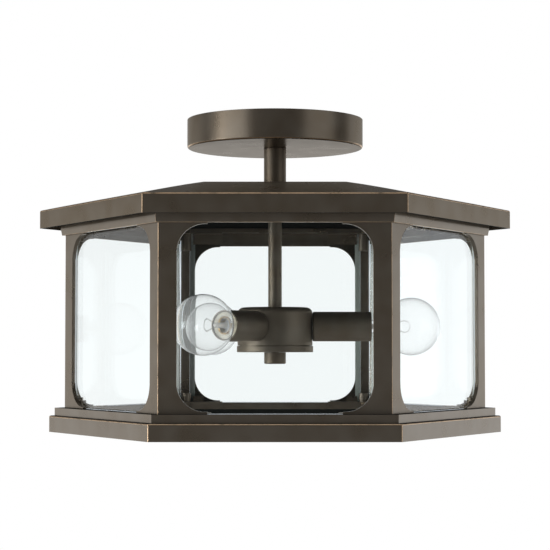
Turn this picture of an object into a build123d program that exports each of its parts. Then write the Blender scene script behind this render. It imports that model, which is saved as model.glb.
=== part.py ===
from build123d import *
import os
from math import cos, radians, sin

# Hexagonal outdoor semi flush mount ceiling light with three globe lamps, in millimetres.
# The origin is on the ceiling plane at the centre of the canopy, +Z is up,
# and one flat of the lantern faces -Y, so that its corners lie at 0, 60, 120 ... degrees.
# The first letter of a height is z: those are places, and every other size is a length.

# Clearances
seat_gap = 0.1          # between pieces that are pushed together
thread_gap = 0.05       # radial play of a screwed or sliding fit
moving_gap = 0.3        # between pieces that move apart
hole_gap = 0.3          # radial play of a clearance hole

# Canopy and its mounting strap
canopy_radius = 76.2
canopy_height = 25.0
canopy_wall = 1.5
canopy_edge_radius = 1.8
strap_end = 3.0          # metal beyond each slot
strap_width = 22.0
strap_thickness = 2.5
strap_corner_radius = 5.0
strap_slot_spacing = 88.9
strap_slot_length = 14.0
strap_slot_width = 4.8
ground_screw_place = 24.0
ground_screw_radius = 2.0
ground_head_radius = 4.2
ground_head_height = 2.6

# Centre pipe, lock nuts and the two stem tubes
pipe_radius = 5.0
pipe_bore_radius = 3.5
nut_across_flats = 14.3
nut_thickness = 4.0
upper_stem_radius = 9.6
upper_stem_length = 38.2
upper_stem_wall = 1.5
lower_stem_wall = 0.8
lower_stem_length = 92.8

# Roof, a hollow hexagonal dome
rim_overhang = 22.4     # corner of the rim beyond the corner of a post
rim_height = 15.4
roof_rise = 15.8
roof_bulge = 0.5        # of a sloping face above the straight line from rim to top
roof_flat_radius = 115.5
roof_wall = 3.0
roof_boss_radius = 4.5

# Lantern frame
post_radius = 181.8
post_wall = 3.5
post_flange = 14.5
gusset_radius = 22.0
gusset_tail = 2.0
gusset_drop = 1.0
gusset_lift = 1.9
boss_offset = 9.5
boss_radius = 4.5
boss_top_height = 16.4
boss_bottom_height = 8.0
boss_rib = 5.0
skirt_wall = 3.6
skirt_taper = 1.0
frieze_height = 6.2
ring_rise = 9.1
flange_thickness = 3.0
flange_width = 17.0
window_height = 149.0

# Base ring, two steps, open below
base_upper_overhang = 8.7   # corner of the upper step beyond the corner of a post
base_upper_height = 6.7
base_lower_overhang = 4.8   # corner of the lower step beyond that of the upper step
base_lower_height = 14.1
base_wall = 3.0
base_lip_wall = 2.0
base_lip_drop = 3.0

# Glass panes and the corner clips that hold them
pane_thickness = 4.0
pane_overlap = 4.8
clip_thickness = 1.0
clip_arm = 28.0         # of a clip along a pane
clip_top_tab = 11.0
clip_bottom_tab = 6.0
clip_bottom_tab_width = 10.0
clip_tab_setback = 3.2
clip_nose = 5.0
clip_relief = 2.0       # between a bottom clip's two hooks and the corner

# Frame screws
screw_radius = 1.95
screw_depth = 10.0
screw_head_radius = 3.5
screw_head_height = 2.4
screw_head_round = 1.0

# Lamp cluster: cup, hickey, cover and finial
lamp_count = 3
cup_radius = 32.4
cup_height = 33.0
cup_shoulder = 5.2
cup_wall = 1.5
lamp_drop = 16.5
hickey_radius = 8.0
hickey_boss = 6.0
hickey_window_width = 10.0
hickey_window_height = 15.5
hickey_foot = 4.0
cover_height = 5.4
cover_overhang = 0.6
cover_wall = 1.5
cover_spigot = 2.0
cover_spigot_wall = 1.2
cover_edge_radius = 0.8
finial_radius = 9.4
finial_height = 10.0
finial_edge = 0.8
finial_stud_radius = 3.0
finial_stud_protrusion = 1.6

# Lamp sockets, distances along the socket axis from the centre of the cluster
socket_radius = 12.8
socket_end = 83.2
socket_wall = 1.2
socket_back_wall = 1.5
socket_back_round = 1.4
nipple_inner_end = 24.5
nipple_outer_end = 40.0
liner_recess = 1.6
liner_back = 36.0
shell_radius = 6.7
shell_wall = 0.5
shell_lip = 0.9
contact_width = 5.0
contact_thickness = 0.6
contact_length = 8.0
contact_rise = 2.4

# Globe lamps with small screw caps
globe_radius = 25.0
globe_centre = 116.0
glass_wall = 0.7
neck_radius = 5.6
neck_blend = 9.0
cap_radius = 5.95
cap_wall = 0.3
cap_length = 16.5
cap_end = 83.6
button_radius = 2.4
button_length = 1.9
insulator_length = 2.6
insulator_radius = 4.6
mount_radius = 2.6
mount_foot_radius = 4.4
mount_length = 20.0
mount_foot_length = 6.0
support_radius = 0.35
support_spread = 5.0
filament_radius = 0.3
filament_centre_distance = 6.0

# Lead wires and their connectors
wire_radius = 1.1
wire_bend = 6.0
wire_reach = 19.0
connector_radius = 3.4
connector_tip_radius = 1.8
connector_length = 10.0
connector_angles = (60, 300)

# Heights that follow from the stack of lengths
side_angle = 60
flat_ratio = cos(radians(side_angle / 2))
z_canopy_floor = canopy_wall - canopy_height
z_roof_top = -canopy_height - upper_stem_length
z_roof_under = z_roof_top - roof_wall
z_rim_top = z_roof_top - roof_rise
z_rim_bottom = z_rim_top - rim_height
z_frieze_bottom = z_rim_bottom - frieze_height
z_flange_top = z_rim_bottom + ring_rise
z_flange_under = z_flange_top - flange_thickness
z_base_top = z_frieze_bottom - window_height
z_base_flange_under = z_base_top - flange_thickness
z_base_step = z_base_top - base_upper_height
z_base_bottom = z_base_step - base_lower_height
z_lower_stem_top = z_roof_under - nut_thickness
z_cup_top = z_lower_stem_top - lower_stem_length
z_lamp = z_cup_top - lamp_drop
z_hickey_top = z_cup_top - cup_wall
z_hickey_window = z_hickey_top - hickey_boss
z_hickey_foot = z_hickey_window - hickey_window_height
z_hickey_bottom = z_hickey_foot - hickey_foot
z_cup_bottom = z_cup_top - cup_height
z_cover_top = z_cup_bottom - moving_gap
z_cover_bottom = z_cover_top - cover_height

# Plan distances that follow from the frame
rim_radius = post_radius + rim_overhang
base_upper_radius = post_radius + base_upper_overhang
base_lower_radius = base_upper_radius + base_lower_overhang
post_flat = post_radius * flat_ratio
pane_outer = post_flat - post_wall
pane_inner = pane_outer - pane_thickness
skirt_inner = post_flat + seat_gap
frieze_flat = skirt_inner + skirt_wall
flange_inner = post_flat - flange_width
roof_screw_place = (flange_inner + skirt_inner) / 2
corner_inner_radius = post_radius - post_wall / flat_ratio
boss_place = corner_inner_radius - boss_offset
opening_width = post_radius - 2 * post_flange
gusset_end = opening_width / 2 - gusset_radius - gusset_tail
clip_tab_end = opening_width / 2 + pane_overlap - clip_tab_setback
clip_reach = clip_tab_end - clip_arm
z_opening_top = z_frieze_bottom - gusset_drop
z_opening_bottom = z_base_top + gusset_lift
screw_hole_radius = screw_radius + hole_gap
pilot_radius = screw_radius + thread_gap
pipe_hole_radius = pipe_radius + thread_gap
pipe_clearance_radius = pipe_radius + hole_gap


# Helpers for common forms

def disc(radius, low, high):
    """Upright cylinder between two heights."""
    return Pos(0, 0, (low + high) / 2) * Cylinder(radius, high - low)


def tube(outer, inner, low, high):
    """Upright tube between two heights."""
    return disc(outer, low, high) - disc(inner, low, high)


def hexagon(flat, low, high):
    """Hexagonal prism given by the distance from its centre to a flat."""
    outline = RegularPolygon(flat / flat_ratio, 6)
    return Pos(0, 0, low) * extrude(outline, amount=high - low)


def block(x_low, x_high, width, low, high):
    """Box along X, centred on Y."""
    size = (x_high - x_low, width, high - low)
    return Pos((x_low + x_high) / 2, 0, (low + high) / 2) * Box(*size)


def around(shape, count, start=0.0):
    """Copies of a shape turned evenly about the vertical axis."""
    return [Rot(0, 0, start + 360 / count * i) * shape for i in range(count)]


def to_socket(shape):
    """Lay a piece made along +Z onto the axis of the first socket, which runs along +X."""
    return Pos(0, 0, z_lamp) * Rot(0, 90, 0) * shape


def save(name, *solids):
    """Write one node."""
    shape = solids[0] if len(solids) == 1 else Compound(list(solids))
    export_step(shape, f"parts/{name}.step")


def save_each(name, shape, count, start=0.0):
    """Write turned copies of one piece as numbered nodes."""
    for i, copy in enumerate(around(shape, count, start), 1):
        save(f"{name}_{i}", copy)


# Canopy, strap, pipe, nuts and stems

def canopy():
    """Spun pan with a small rounded lower edge, open to the ceiling."""
    pan = disc(canopy_radius, -canopy_height, 0)
    pan = fillet(pan.edges().group_by(Axis.Z)[0], canopy_edge_radius)
    pan -= disc(canopy_radius - canopy_wall, z_canopy_floor, 0)
    return pan - disc(pipe_clearance_radius, -canopy_height, 0)


def mounting_strap():
    """Flat bar with two slots for the ceiling box, the pipe's hole and the ground screw's hole."""
    length = strap_slot_spacing + strap_slot_length + 2 * strap_end
    bar = Rectangle(length, strap_width)
    bar = fillet(bar.vertices(), strap_corner_radius)
    slot = SlotOverall(strap_slot_length, strap_slot_width)
    for side in (-1, 1):
        bar -= Pos(side * strap_slot_spacing / 2, 0) * slot
    bar -= Circle(pipe_hole_radius)
    bar -= Pos(ground_screw_place, 0) * Circle(ground_screw_radius + thread_gap)
    return Pos(0, 0, -strap_thickness) * extrude(bar, amount=strap_thickness)


def ground_screw():
    """Screw with a wide hexagonal head under the strap."""
    head = RegularPolygon(ground_head_radius, 6)
    screw = Pos(0, 0, -strap_thickness - ground_head_height) * extrude(head, amount=ground_head_height)
    screw += disc(ground_screw_radius, -strap_thickness, 0)
    return Pos(ground_screw_place, 0, 0) * screw


def lock_nut(low):
    """Thin hexagonal nut for the pipe thread, with its lower face at one height."""
    body = RegularPolygon(nut_across_flats / 2, 6, major_radius=False)
    nut = Pos(0, 0, low) * extrude(body, amount=nut_thickness)
    return nut - disc(pipe_hole_radius, low, low + nut_thickness)


def lock_nuts():
    """Nuts under the strap, on the canopy's floor and under the roof, and one inside each socket."""
    column = [-strap_thickness - nut_thickness, z_canopy_floor, z_lower_stem_top]
    flat_half = nut_across_flats / 2
    corner_half = flat_half / flat_ratio
    wall = cup_radius - cup_wall
    seat = (wall**2 - corner_half**2) ** 0.5 - seat_gap
    sockets = around(to_socket(lock_nut(seat - nut_thickness)), lamp_count)
    return [lock_nut(low) for low in column] + sockets


# Roof and frame

def dome(flat, top, drop, edge, bottom):
    """Convex hexagonal dome: three bars of one arched section, crossed at their middles."""
    middle = ((flat + edge) / 2, top - drop / 2 + roof_bulge)
    right = ThreePointArc((flat, top), middle, (edge, top - drop))
    left = ThreePointArc((-flat, top), (-middle[0], middle[1]), (-edge, top - drop))
    sides = Polyline((edge, top - drop), (edge, bottom), (-edge, bottom), (-edge, top - drop))
    section = make_face([right, sides, left, Line((-flat, top), (flat, top))])
    bar = extrude(Plane.XZ * section, amount=rim_radius, both=True)
    first, second, third = around(bar, 6, side_angle / 2)[:3]
    return first & second & third


def roof():
    """Hollow dome with a deep rim and a screw boss inside each of its six faces."""
    flat = roof_flat_radius * flat_ratio
    edge = rim_radius * flat_ratio
    outer = dome(flat, z_roof_top, roof_rise, edge, z_rim_bottom)
    inner = dome(flat, z_roof_under, roof_rise, edge - roof_wall, z_rim_bottom)
    boss = disc(roof_boss_radius, z_flange_top, z_roof_under)
    pilot = disc(pilot_radius, z_flange_top, z_flange_top + screw_depth - flange_thickness)
    shape = outer - inner
    for post in around(Pos(roof_screw_place, 0, 0) * boss, 6, side_angle / 2):
        shape += post & outer
    shape -= around(Pos(roof_screw_place, 0, 0) * pilot, 6, side_angle / 2)
    return shape - disc(pipe_clearance_radius, z_roof_under, z_roof_top)


def frame_holes(low, high):
    """Screw holes over the six post bosses."""
    return around(Pos(boss_place, 0, 0) * disc(screw_hole_radius, low, high), 6)


def top_ring():
    """Skirt that wraps the heads of the posts, with an inward flange above them."""
    upper = hexagon(frieze_flat, z_rim_bottom, z_flange_top)
    foot = RegularPolygon(frieze_flat / flat_ratio, 6)
    tip = RegularPolygon((frieze_flat - skirt_taper) / flat_ratio, 6)
    frieze = loft([Pos(0, 0, z_rim_bottom) * foot, Pos(0, 0, z_frieze_bottom) * tip])
    ring = upper + frieze
    ring -= hexagon(skirt_inner, z_frieze_bottom, z_flange_under)
    ring -= hexagon(flange_inner, z_flange_under, z_flange_top)
    ring -= frame_holes(z_flange_under, z_flange_top)
    hole = Pos(roof_screw_place, 0, 0) * disc(screw_hole_radius, z_flange_under, z_flange_top)
    return ring - around(hole, 6, side_angle / 2)


def base_ring():
    """Two steps outside, a flange inside that carries posts and panes, and an open bottom."""
    upper_flat = base_upper_radius * flat_ratio
    lower_flat = base_lower_radius * flat_ratio
    z_ceiling = z_base_step - base_wall
    ring = hexagon(upper_flat, z_base_step, z_base_top)
    ring += hexagon(lower_flat, z_base_bottom, z_base_step)
    ring -= hexagon(lower_flat - base_wall, z_base_bottom, z_ceiling)
    ring -= hexagon(upper_flat - base_wall, z_ceiling, z_base_flange_under)
    ring -= hexagon(flange_inner, z_base_flange_under, z_base_top)
    z_lip = z_base_flange_under - base_lip_drop
    ring += hexagon(flange_inner + base_lip_wall, z_lip, z_base_flange_under)
    ring -= hexagon(flange_inner, z_lip, z_base_flange_under)
    return ring - frame_holes(z_base_flange_under, z_base_top)


def window_cutter():
    """The rounded opening of one face, pushed through along +X."""
    height = z_opening_top - z_opening_bottom
    middle = (z_opening_top + z_opening_bottom) / 2
    outline = Pos(0, middle) * RectangleRounded(opening_width, height, gusset_radius)
    return extrude(Plane.YZ * outline, amount=post_radius)


def corner_post():
    """Angle post on the +X corner: two flanges with curved gussets, and a screw boss at each end."""
    arm = post_radius / 2 - gusset_end
    half = radians(side_angle / 2)
    outline = [Vector(post_radius, 0)]
    outline.append(Vector(post_radius - arm * sin(half), -arm * cos(half)))
    outline.append(outline[1] - Vector(cos(half), -sin(half)) * post_wall)
    outline.append(Vector(corner_inner_radius, 0))
    outline += [Vector(p.X, -p.Y) for p in (outline[2], outline[1])]
    section = make_face(Polyline(*outline, close=True))
    post = Pos(0, 0, z_base_top) * extrude(section, amount=z_flange_under - z_base_top)
    for turn in (-1, 1):
        post -= Rot(0, 0, turn * side_angle / 2) * window_cutter()
    ends = (
        (z_flange_under - clip_thickness - boss_top_height, z_flange_under - clip_thickness),
        (z_base_top + clip_thickness, z_base_top + clip_thickness + boss_bottom_height),
    )
    for low, high in ends:
        post += Pos(boss_place, 0, 0) * disc(boss_radius, low, high)
        post += block(boss_place, corner_inner_radius + post_wall / 2, boss_rib, low, high)
    depth = screw_depth - flange_thickness
    holes = ((z_flange_under - depth, z_flange_under), (z_base_top, z_base_top + depth))
    for low, high in holes:
        post -= Pos(boss_place, 0, 0) * disc(pilot_radius, low, high)
    return post


def glass_pane():
    """Flat pane behind the +X face, standing on the base flange."""
    width = opening_width + 2 * pane_overlap
    return block(pane_inner, pane_outer, width, z_base_top, z_frieze_bottom + pane_overlap)


def pane_clip(tab_start, tab_length, hook_height):
    """Corner plate at z = 0 under a post's boss: tabs along both panes, hooks over the flange's edge."""
    half = radians(side_angle / 2)
    normal = Vector(cos(half), -sin(half))
    along = Vector(sin(half), cos(half))
    edge = pane_inner - clip_thickness
    inner = flange_inner - seat_gap - clip_thickness
    heel = Vector(inner / flat_ratio, 0)
    outline = [Vector(boss_place + boss_radius, -clip_nose / 2), normal * edge + along * clip_tab_end]
    outline += [normal * distance + along * clip_reach for distance in (edge, inner)]
    outline += [heel] + [Vector(p.X, -p.Y) for p in reversed(outline)]
    clip = extrude(make_face(Polyline(*outline, close=True)), amount=clip_thickness)
    clip -= Pos(boss_place, 0, 0) * disc(screw_hole_radius, 0, clip_thickness)
    tab = block(edge, pane_inner, clip_tab_end - tab_start, clip_thickness - tab_length, clip_thickness)
    hook_end = heel.X * sin(half) - clip_relief
    hook = block(inner, inner + clip_thickness, hook_end - clip_reach, 0, hook_height)
    bent = Pos(0, (tab_start + clip_tab_end) / 2, 0) * tab + Pos(0, (clip_reach + hook_end) / 2, 0) * hook
    bent = Rot(0, 0, -side_angle / 2) * bent
    return clip + bent + mirror(bent, about=Plane.XZ)


def frame_screw():
    """Pan head screw pointing down, with the underside of its head at z = 0."""
    head = disc(screw_head_radius, 0, screw_head_height)
    head = fillet(head.edges().group_by(Axis.Z)[-1], screw_head_round)
    return head + disc(screw_radius, -screw_depth, 0)


# Lamp cluster

def rounded_drum(radius, low, high, shoulder):
    """Drum with a rounded upper edge."""
    drum = disc(radius, low, high)
    return fillet(drum.edges().group_by(Axis.Z)[-1], shoulder)


def cluster_cup():
    """Inverted cup on the end of the stem with a hole for each socket's nipple."""
    cup = rounded_drum(cup_radius, z_cup_bottom, z_cup_top, cup_shoulder)
    cup -= rounded_drum(cup_radius - cup_wall, z_cup_bottom, z_hickey_top, cup_shoulder - cup_wall)
    cup -= disc(pipe_clearance_radius, z_hickey_top, z_cup_top)
    hole = to_socket(disc(pipe_clearance_radius, nipple_inner_end, nipple_outer_end))
    return cup - around(hole, lamp_count)


def hickey():
    """Open fitting on the end of the pipe: the leads leave by its window, the finial screws into its foot."""
    body = disc(hickey_radius, z_hickey_bottom, z_hickey_top)
    middle = (z_hickey_window + z_hickey_foot) / 2
    body -= Pos(0, 0, middle) * Box(hickey_window_width, 3 * hickey_radius, hickey_window_height)
    body -= disc(pipe_hole_radius, z_hickey_window, z_hickey_top)
    return body - disc(finial_stud_radius + thread_gap, z_hickey_bottom, z_hickey_foot)


def cluster_cover():
    """Shallow lid with a spigot that centres it in the cup."""
    lid = disc(cup_radius + cover_overhang, z_cover_bottom, z_cover_top)
    lid = fillet(lid.edges().group_by(Axis.Z)[0], cover_edge_radius)
    spigot = cup_radius - cup_wall - moving_gap
    lid += disc(spigot, z_cover_top, z_cover_top + moving_gap + cover_spigot)
    inside = spigot - cover_spigot_wall
    lid -= disc(inside, z_cover_bottom + cover_wall, z_cover_top + moving_gap + cover_spigot)
    return lid - disc(finial_stud_radius + hole_gap, z_cover_bottom, z_cover_bottom + cover_wall)


def finial():
    """Round nut with a stud that reaches the hickey through the lid."""
    high = z_cover_bottom - seat_gap
    knob = disc(finial_radius, high - finial_height, high)
    knob = chamfer(knob.edges().group_by(Axis.Z)[0], finial_edge)
    return knob + disc(finial_stud_radius, high, z_hickey_foot + finial_stud_protrusion)


# Sockets

def socket_cover():
    """Deep round pan whose flat back, with a rounded edge and the nipple's hole, rests against the cup."""
    back = cup_radius + seat_gap
    cover = disc(socket_radius, back, socket_end)
    cover = fillet(cover.edges().group_by(Axis.Z)[0], socket_back_round)
    cover -= disc(socket_radius - socket_wall, back + socket_back_wall, socket_end)
    return to_socket(cover - disc(pipe_clearance_radius, back, back + socket_back_wall))


def socket_nipple():
    """Threaded tube that joins socket and cup."""
    return to_socket(tube(pipe_radius, pipe_bore_radius, nipple_inner_end, nipple_outer_end))


def shell_bottom():
    """Place of the floor of the screw shell, where its contact just clears the lamp's button."""
    return cap_end - cap_length - button_length - moving_gap - contact_rise


def socket_liner():
    """Insulating body that fills the cover and carries the screw shell."""
    front = socket_end - liner_recess
    radius = socket_radius - socket_wall - seat_gap
    liner = disc(radius, liner_back, front)
    liner -= disc(shell_radius + seat_gap, shell_bottom(), front)
    liner -= disc(pipe_hole_radius, liner_back, nipple_outer_end)
    return to_socket(liner)


def screw_shell():
    """Metal sleeve that takes the lamp's cap, with a rolled lip."""
    front = socket_end - liner_recess
    shell = tube(shell_radius, shell_radius - shell_wall, shell_bottom(), front)
    lip = tube(shell_radius + shell_lip, shell_radius - shell_wall, front, front + shell_wall)
    return to_socket(shell + lip)


def centre_contact():
    """Sprung strip on the floor of the socket that the lamp's button presses on."""
    low = shell_bottom()
    half = contact_length / 2
    outline = [(-half, 0), (half, 0), (half, contact_thickness)]
    outline += [(half - contact_thickness, contact_thickness), (contact_thickness, contact_rise)]
    outline += [(-half / 2, contact_rise), (-half / 2, contact_rise - contact_thickness)]
    outline += [(0, contact_rise - contact_thickness), (half - 2 * contact_thickness, contact_thickness)]
    outline += [(-half, contact_thickness)]
    section = make_face(Polyline(*outline, close=True))
    strip = extrude(Plane.XZ * section, amount=contact_width / 2, both=True)
    return to_socket(Pos(0, 0, low) * strip)


# Lamps

def blown_form(globe, neck, blend):
    """Globe with a neck that flows into it, turned from a line and two tangent arcs."""
    foot = cap_end - mount_foot_length
    share = globe / (globe + blend)
    z_blend = globe_centre - ((globe + blend) ** 2 - (neck + blend) ** 2) ** 0.5
    meeting = ((neck + blend) * share, globe_centre - (globe_centre - z_blend) * share)
    flare = TangentArc((neck, z_blend), meeting, tangent=(0, 1))
    crown = TangentArc(meeting, (0, globe_centre + globe), tangent=flare % 1)
    sides = Polyline((0, globe_centre + globe), (0, foot), (neck, foot), (neck, z_blend))
    return revolve(Plane.XZ * make_face([flare, crown, sides]), Axis.Z)


def lamp_glass():
    """Thin blown envelope, open at the foot of its neck."""
    outer = blown_form(globe_radius, neck_radius, neck_blend)
    inner = blown_form(globe_radius - glass_wall, neck_radius - glass_wall, neck_blend + glass_wall)
    return to_socket(outer - inner)


def lamp_cap():
    """Drawn cap whose shell takes the thread, with the insulator's seat at its lower end."""
    low = cap_end - cap_length
    cap = disc(cap_radius, low, cap_end)
    cap = chamfer(cap.edges().group_by(Axis.Z)[0], cap_radius - insulator_radius)
    cap -= disc(cap_radius - cap_wall, low + insulator_length, cap_end)
    cap -= disc(button_radius + thread_gap, low, low + insulator_length)
    return to_socket(cap)


def lamp_button():
    """Contact button with its shank, seated in the cap."""
    low = cap_end - cap_length
    button = disc(button_radius, low - button_length, low + insulator_length)
    button = fillet(button.edges().group_by(Axis.Z)[0], button_length / 2)
    return to_socket(button)


def lamp_mount():
    """Glass stem, two support wires and the filament between them."""
    foot = cap_end - mount_foot_length
    tip = foot + mount_length
    stem = Pos(0, 0, foot + mount_foot_length / 2) * Cone(mount_foot_radius, mount_radius, mount_foot_length)
    stem += disc(mount_radius, foot + mount_foot_length, tip)
    high = globe_centre - filament_centre_distance
    pieces = [stem]
    for side in (-1, 1):
        wire = Line((side * mount_radius / 2, 0, tip), (side * support_spread, 0, high))
        pieces.append(sweep(Plane(wire @ 0, z_dir=wire % 0) * Circle(support_radius), path=wire))
    span = support_spread
    arch = ThreePointArc((-span, 0, high), (0, 0, high + span), (span, 0, high))
    pieces.append(sweep(Plane(arch @ 0, z_dir=arch % 0) * Circle(filament_radius), path=arch))
    return to_socket(Compound(pieces))


# Leads

def lead_wire(angle):
    """Insulated lead from the ceiling box down the pipe and out through the hickey to a connector."""
    start = pipe_bore_radius - wire_radius - seat_gap
    z_turn = z_hickey_window - wire_bend
    points = ((start, 0, 0), (start, 0, z_turn), (wire_reach, 0, z_turn))
    route = FilletPolyline(*points, (wire_reach, 0, z_turn - 2 * wire_bend), radius=wire_bend)
    wire = sweep(Plane(route @ 0, z_dir=route % 0) * Circle(wire_radius), path=route)
    return Rot(0, 0, angle) * wire


def connector(angle):
    """Twist-on connector over the end of a lead, mouth up."""
    high = z_hickey_window - 2 * wire_bend
    low = high - connector_length
    cap = Pos(0, 0, (low + high) / 2) * Cone(connector_tip_radius, connector_radius, connector_length)
    cap -= disc(wire_radius + thread_gap, high - wire_bend, high)
    return Rot(0, 0, angle) * Pos(wire_reach, 0, 0) * cap


# Write every node

os.makedirs("parts", exist_ok=True)

save("canopy", canopy())
save("mounting_strap", mounting_strap())
save("ground_screw", ground_screw())
save("centre_pipe", tube(pipe_radius, pipe_bore_radius, z_hickey_window, 0))
save("lock_nuts", *lock_nuts())
upper_inner = upper_stem_radius - upper_stem_wall
save("upper_stem", tube(upper_stem_radius, upper_inner, z_roof_top, -canopy_height))
lower_inner = pipe_radius + seat_gap
save("lower_stem", tube(lower_inner + lower_stem_wall, lower_inner, z_cup_top, z_lower_stem_top))

save("roof", roof())
save("top_ring", top_ring())
save("base_ring", base_ring())
save_each("corner_post", corner_post(), 6)
save_each("glass_pane", glass_pane(), 6, side_angle / 2)
top_clip = pane_clip(clip_reach, clip_top_tab, clip_thickness)
top_clip = Pos(0, 0, z_flange_under - clip_thickness) * top_clip
hook_height = clip_thickness + flange_thickness + base_lip_drop
bottom_clip = pane_clip(clip_tab_end - clip_bottom_tab_width, clip_bottom_tab, hook_height)
bottom_clip = Pos(0, 0, z_base_top + clip_thickness) * Rot(180, 0, 0) * bottom_clip
save("top_pane_clips", *around(top_clip, 6))
save("bottom_pane_clips", *around(bottom_clip, 6))

screw_down = frame_screw()
screw_up = Rot(180, 0, 0) * screw_down
save("top_post_screws", *around(Pos(boss_place, 0, z_flange_top) * screw_down, 6))
save("bottom_post_screws", *around(Pos(boss_place, 0, z_base_flange_under) * screw_up, 6))
roof_screw = Pos(roof_screw_place, 0, z_flange_under) * screw_up
save("roof_screws", *around(roof_screw, 6, side_angle / 2))

save("cluster_cup", cluster_cup())
save("hickey", hickey())
save("cluster_cover", cluster_cover())
save("finial", finial())
save("socket_nipples", *around(socket_nipple(), lamp_count))
save_each("socket_cover", socket_cover(), lamp_count)
save_each("socket_liner", socket_liner(), lamp_count)
save_each("screw_shell", screw_shell(), lamp_count)
save_each("centre_contact", centre_contact(), lamp_count)
save_each("lamp_glass", lamp_glass(), lamp_count)
save_each("lamp_cap", lamp_cap(), lamp_count)
save_each("lamp_button", lamp_button(), lamp_count)
save_each("lamp_mount", lamp_mount(), lamp_count)
save("lead_wires", *(lead_wire(angle) for angle in connector_angles))
save("wire_connectors", *(connector(angle) for angle in connector_angles))
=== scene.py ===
from math import asin, cos, pi, radians, sin

import bmesh
import bpy
from bpy.props import FloatProperty, FloatVectorProperty, IntProperty, PointerProperty
from mathutils import Matrix, Vector


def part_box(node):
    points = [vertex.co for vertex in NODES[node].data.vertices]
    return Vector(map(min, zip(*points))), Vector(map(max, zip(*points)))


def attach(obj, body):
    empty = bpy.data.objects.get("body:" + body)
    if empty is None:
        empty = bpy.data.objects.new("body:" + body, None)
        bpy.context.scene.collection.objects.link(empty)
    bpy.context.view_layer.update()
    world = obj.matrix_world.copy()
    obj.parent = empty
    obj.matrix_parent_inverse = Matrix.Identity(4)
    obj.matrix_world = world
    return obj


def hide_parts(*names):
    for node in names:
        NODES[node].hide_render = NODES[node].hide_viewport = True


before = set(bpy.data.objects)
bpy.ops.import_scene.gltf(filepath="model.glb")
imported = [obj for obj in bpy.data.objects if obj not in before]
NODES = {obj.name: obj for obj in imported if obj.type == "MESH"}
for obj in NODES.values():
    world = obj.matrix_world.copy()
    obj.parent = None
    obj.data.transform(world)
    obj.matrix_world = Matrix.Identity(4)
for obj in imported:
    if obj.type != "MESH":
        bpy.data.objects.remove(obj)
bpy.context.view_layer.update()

bl_info = {
    "name": "Hexagonal Ceiling Lantern",
    "version": (1, 0, 0),
    "blender": (4, 5, 0),
    "location": "View3D > Sidebar > Lantern",
    "description": "Finishes, lamps and stage for a hexagonal semi flush ceiling lantern",
    "category": "Object",
}

MM = 0.001
LAMPS = (1, 2, 3)
LAMP_TURN = radians(120)
SIDE_TURN = pi / 3
FLAT_RATIO = cos(SIDE_TURN / 2)     # distance of a side from the axis, against that of a corner


def linear(code):
    """A hex colour as the eye reads it on a screen, turned to linear light."""
    parts = [int(code[i:i + 2], 16) / 255 for i in (0, 2, 4)]
    return tuple(c / 12.92 if c <= 0.04045 else ((c + 0.055) / 1.055) ** 2.4 for c in parts)


def named(*stems):
    """The lantern's own nodes whose names start with one of these words, in order."""
    return [NODES[n] for n in sorted(NODES) if n.startswith(stems)]


# Places that the finishes and the lamps go by, read from the pieces themselves
RIM_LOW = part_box("roof")[0].z
FRIEZE_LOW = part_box("top_ring")[0].z
BASE_LOW, BASE_TOP = (corner.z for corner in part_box("base_ring"))
CANOPY_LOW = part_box("canopy")[0].z
CANOPY_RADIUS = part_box("canopy")[1].x
POST_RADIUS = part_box("corner_post_1")[1].x
BACK_PANE = max((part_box(pane.name)[1] for pane in named("glass_pane")), key=lambda corner: corner.y)
SOCKET_HEIGHT = (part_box("socket_cover_1")[0].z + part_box("socket_cover_1")[1].z) / 2
GLOBE_RADIUS = (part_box("lamp_glass_1")[1].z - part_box("lamp_glass_1")[0].z) / 2
GLASS_FOOT, GLOBE_TIP = (corner.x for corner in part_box("lamp_glass_1"))
GLOBE_CENTRE = GLOBE_TIP - GLOBE_RADIUS
CAP_LOW, CAP_HIGH = (corner.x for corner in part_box("lamp_cap_1"))
CAP_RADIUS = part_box("lamp_cap_1")[1].y
SHELL_LOW, SHELL_HIGH = (corner.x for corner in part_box("screw_shell_1"))

# Metal
LACQUER = (0.27, 0.3)               # roughness in the darker and the lighter clouds
SATIN = (0.43, 0.46)
WELD_GAP = 0.001 * MM
FLAT_ANGLE = radians(0.2)           # faces that bend less are joined
SHARP_ANGLE = radians(35)           # edges that bend more can be rubbed
SOFT_ANGLE = radians(50)            # edges that bend more are eased
UPRIGHT_RISE = 0.9                  # rise for its length, above which an edge is upright
UPRIGHT_SHARE = 0.35                # width of an upright rubbed edge, against a level one
DOWNWARD = -0.3                     # height of a normal, below which its face looks down
MARGIN = 1.0 * MM                   # by which a band clears or takes in the edges beside it
OUTER_SKIN = 2 * MM                 # by which a zone reaches in from the sides of a hexagonal ring
CANOPY_RUB = (0.3 * MM, 1.0 * MM)   # heights of the rubbed line above the canopy's lower face
CANOPY_RUB_DEPTH = 1.3 * MM         # its reach in from the canopy's side
STRIP_WIDTH = 4.9 * MM
STRIP_DEPTH = 0.6 * MM

# Glass. Panes, globes and stems have lower indices than real glass, so that they stay pale.
REAL_INDEX = 1.5                    # of the globes' clear coat and the ground edges
PANE_INDEX = 1.3
GLOBE_INDEX = 1.2
STEM_INDEX = 1.3
GLOBE_POLISH = 0.4
# Weight of a white diffuse film on the globes, a painted reflection of the white studio
GLOBE_PAINTED_REFLECTION = 0.05
EDGE_PAINTED_GLOW = 0.42                    # strength of a painted glow on the panes' edges, for light that a sheet of glass carries there
EDGE_COSINE = 0.5                   # to the pane's normal and to up, below which a face is an edge
SEAM = 0.22 * MM                    # width ground off the foot of a pane

# Patterns
NOISE_DETAIL = 2.0
NOISE_ROUGHNESS = 0.55
DRIFT = (0.3, 0.7)                  # part of a noise over which a finish changes
WEAR = 0.1                          # by which the roughness of bare metal changes

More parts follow.
